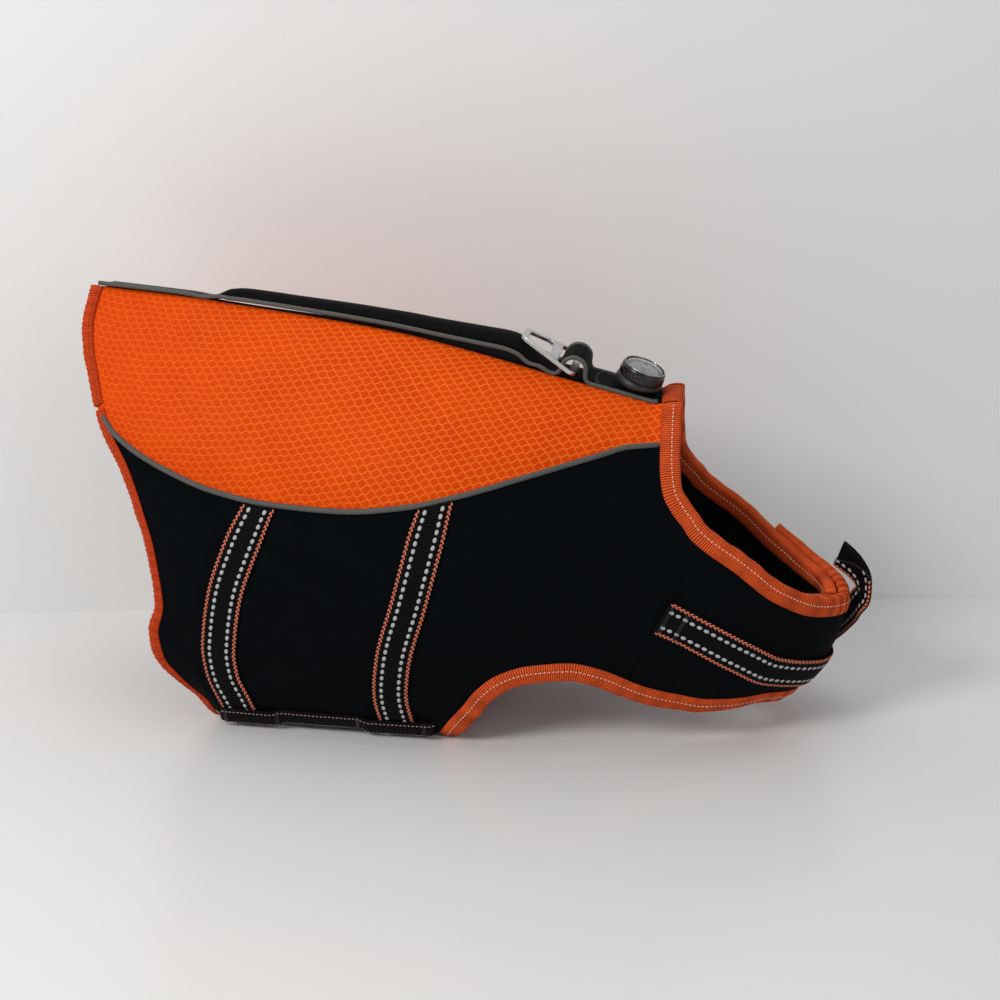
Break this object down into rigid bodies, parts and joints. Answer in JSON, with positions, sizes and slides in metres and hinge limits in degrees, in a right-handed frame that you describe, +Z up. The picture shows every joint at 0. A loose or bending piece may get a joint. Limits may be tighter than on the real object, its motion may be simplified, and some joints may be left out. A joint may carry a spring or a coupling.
{
  "type": "dog life jacket",
  "caption": "Dog life jacket standing empty and filled out: foam side panels, neoprene flanks and chest flaps, grab handle, hinged leash ring, lamp and belly straps.",
  "frame": {"origin": "middle of the jacket's box, on the ground under its belly", "axes": "+X from the rear end to the neck, +Y towards the jacket's right side, +Z up"},
  "size_m": [0.5469, 0.1944, 0.3098],
  "materials": {
    "orange_ripstop": "ripstop nylon over foam",
    "black_neoprene": "matt knit-faced neoprene",
    "coral_tape": "ribbed edge tape",
    "black_webbing": "woven webbing with stitched reflective dashes",
    "grey_piping": "grey reflective piping",
    "buckle_plastic": "moulded acetal",
    "ring_metal": "satin",
    "lamp_plastic": "moulded",
    "lamp_cap_plastic": "knurled, satin gloss",
    "lamp_lens": "clear moulded lens"
  },
  "bodies": {
    "jacket": {"belly_binding_front": "coral_tape", "belly_binding_rear": "coral_tape", "belly_panel": "black_neoprene", "buckle_prongs": "buckle_plastic", "buckle_socket": "buckle_plastic", "chest_flap_far": "black_neoprene", "chest_flap_near": "black_neoprene", "chest_strap_far": "black_webbing", "chest_strap_near": "black_webbing", "flap_end_binding_far": "coral_tape", "flap_end_binding_near": "coral_tape", "foam_panel_far": "orange_ripstop", "foam_panel_near": "orange_ripstop", "girth_strap_front": "black_webbing", "girth_strap_rear": "black_webbing", "keeper_strap_far": "black_webbing", "keeper_strap_near": "black_webbing", "lamp_base": "lamp_plastic", "leg_binding_far": "coral_tape", "leg_binding_near": "coral_tape", "neck_binding_far": "coral_tape", "neck_binding_near": "coral_tape", "neck_binding_top": "coral_tape", "rear_binding_foam_far": "coral_tape", "rear_binding_foam_near": "coral_tape", "rear_binding_side_far": "coral_tape", "rear_binding_side_near": "coral_tape", "side_panel_far": "black_neoprene", "side_panel_near": "black_neoprene", "side_piping_far": "grey_piping", "side_piping_near": "grey_piping", "spine_base": "black_webbing", "strap_tail": "black_webbing", "top_piping_far": "grey_piping", "top_piping_near": "grey_piping", "top_webbing": "black_webbing"},
    "ring": {"leash_ring": "ring_metal"},
    "lamp_top": {"lamp_cap": "lamp_cap_plastic", "lamp_lens": "lamp_lens"}
  },
  "joints": [
    {"name": "ring_hinge", "type": "hinge", "parent": "jacket", "child": "ring", "pos_m": [0.06484, -0.00069, 0.25749], "axis": [0.0254, 0.9943, 0.1033], "range_deg": [0, 130]},
    {"name": "lamp_turn", "type": "hinge", "parent": "jacket", "child": "lamp_top", "pos_m": [0.10701, -0.00035, 0.24334], "axis": [0.3433, -0.1197, 0.9316], "range_deg": [0, 90]}
  ]
}
